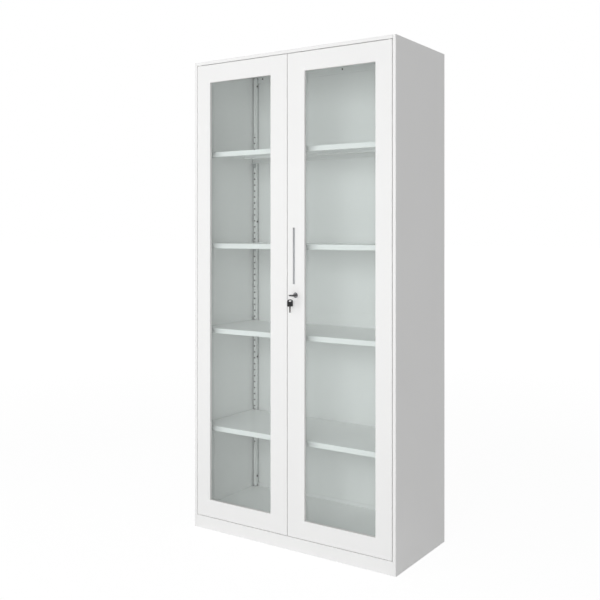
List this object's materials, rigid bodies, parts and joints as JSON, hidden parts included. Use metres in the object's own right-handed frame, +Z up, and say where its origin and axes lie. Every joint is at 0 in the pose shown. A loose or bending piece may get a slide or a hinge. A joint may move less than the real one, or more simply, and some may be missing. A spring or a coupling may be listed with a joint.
{
  "type": "glazed two-door steel storage cabinet",
  "caption": "Tall white folded-steel storage cabinet with glazed swing doors, a recessed pull, a cam lock with keys, lift-off shelves on slotted uprights and a low plinth.",
  "frame": {"origin": "On the floor, in the middle of the width, in the plane of the door fronts: the bottom front edge of the plinth.", "axes": "+Z up, +X to the right of someone facing the doors, +Y back into the cabinet."},
  "size_m": [0.9, 0.4393, 1.85],
  "materials": {
    "white_paint": "white powder coat, satin, very fine orange peel",
    "glass": "clear 4 mm float glass, faint green",
    "zinc": "bright zinc plating",
    "screw_black": "black zinc plating",
    "lock_chrome": "dark polished nickel",
    "key_steel": "dark nickel-plated steel",
    "key_black": "black moulded plastic",
    "nylon": "natural nylon",
    "pull_grey": "pale grey moulded plastic",
    "rubber": "soft grey rubber"
  },
  "bodies": {
    "carcass": {"left_side_panel": "white_paint", "right_side_panel": "white_paint", "top_panel": "white_paint", "bottom_panel": "white_paint", "plinth": "white_paint", "back_panel": "white_paint", "front_left_upright": "white_paint", "front_right_upright": "white_paint", "rear_left_upright": "white_paint", "rear_right_upright": "white_paint", "shelf_1_clips": "zinc", "shelf_2_clips": "zinc", "shelf_3_clips": "zinc", "shelf_4_clips": "zinc", "column_screws": "screw_black", "flange_screws": "screw_black", "left_hinge_pins": "zinc", "right_hinge_pins": "zinc", "door_buffers": "rubber"},
    "shelf_1": {"shelf_1": "white_paint", "shelf_1_stiffener": "white_paint"},
    "shelf_2": {"shelf_2": "white_paint", "shelf_2_stiffener": "white_paint"},
    "shelf_3": {"shelf_3": "white_paint", "shelf_3_stiffener": "white_paint"},
    "shelf_4": {"shelf_4": "white_paint", "shelf_4_stiffener": "white_paint"},
    "left_door": {"left_door_frame": "white_paint", "left_door_glass": "glass", "left_glass_gasket": "rubber", "left_glass_clips": "zinc", "left_glass_screws": "zinc", "left_hinge_bushes": "nylon", "left_bolt_guides": "nylon"},
    "right_door": {"right_door_frame": "white_paint", "right_door_glass": "glass", "right_glass_gasket": "rubber", "right_glass_clips": "zinc", "right_glass_screws": "zinc", "right_hinge_bushes": "nylon", "pull_handle": "pull_grey", "lock_body": "lock_chrome", "lock_nut": "zinc"},
    "left_upper_bolt": {"left_upper_bolt": "zinc"},
    "left_lower_bolt": {"left_lower_bolt": "zinc"},
    "lock": {"lock_plug": "lock_chrome", "lock_cam": "zinc", "cam_screw": "zinc", "key_head": "key_black", "key_blade": "key_steel"},
    "key_ring": {"key_ring": "zinc"},
    "spare_key": {"spare_key_head": "key_black", "spare_key_blade": "key_steel"}
  },
  "joints": [
    {"name": "left_door_swing", "type": "hinge", "parent": "carcass", "child": "left_door", "pos_m": [-0.425, 0.0065, 0], "axis": [0, 0, -1], "range_deg": [0, 110]},
    {"name": "right_door_swing", "type": "hinge", "parent": "carcass", "child": "right_door", "pos_m": [0.425, 0.0065, 0], "axis": [0, 0, 1], "range_deg": [0, 110]},
    {"name": "lock_turn", "type": "hinge", "parent": "right_door", "child": "lock", "pos_m": [0.0375, 0, 0.943], "axis": [0, -1, 0], "range_deg": [0, 90]},
    {"name": "left_upper_bolt_slide", "type": "slide", "parent": "left_door", "child": "left_upper_bolt", "axis": [0, 0, 1], "range_m": [0, 0.012]},
    {"name": "left_lower_bolt_slide", "type": "slide", "parent": "left_door", "child": "left_lower_bolt", "axis": [0, 0, -1], "range_m": [0, 0.012]},
    {"name": "key_ring_swing", "type": "hinge", "parent": "right_door", "child": "key_ring", "pos_m": [0.0375, -0.0273, 0.943], "axis": [-1, 0, 0], "range_deg": [-5, 15]},
    {"name": "spare_key_swing", "type": "hinge", "parent": "key_ring", "child": "spare_key", "pos_m": [0.0313, -0.0273, 0.9244], "axis": [-1, 0, 0], "range_deg": [-5, 40]},
    {"name": "shelf_1_lift", "type": "slide", "parent": "carcass", "child": "shelf_1", "axis": [0, 0, 1], "range_m": [0, 0.025]},
    {"name": "shelf_2_lift", "type": "slide", "parent": "carcass", "child": "shelf_2", "axis": [0, 0, 1], "range_m": [0, 0.025]},
    {"name": "shelf_3_lift", "type": "slide", "parent": "carcass", "child": "shelf_3", "axis": [0, 0, 1], "range_m": [0, 0.025]},
    {"name": "shelf_4_lift", "type": "slide", "parent": "carcass", "child": "shelf_4", "axis": [0, 0, 1], "range_m": [0, 0.025]}
  ]
}
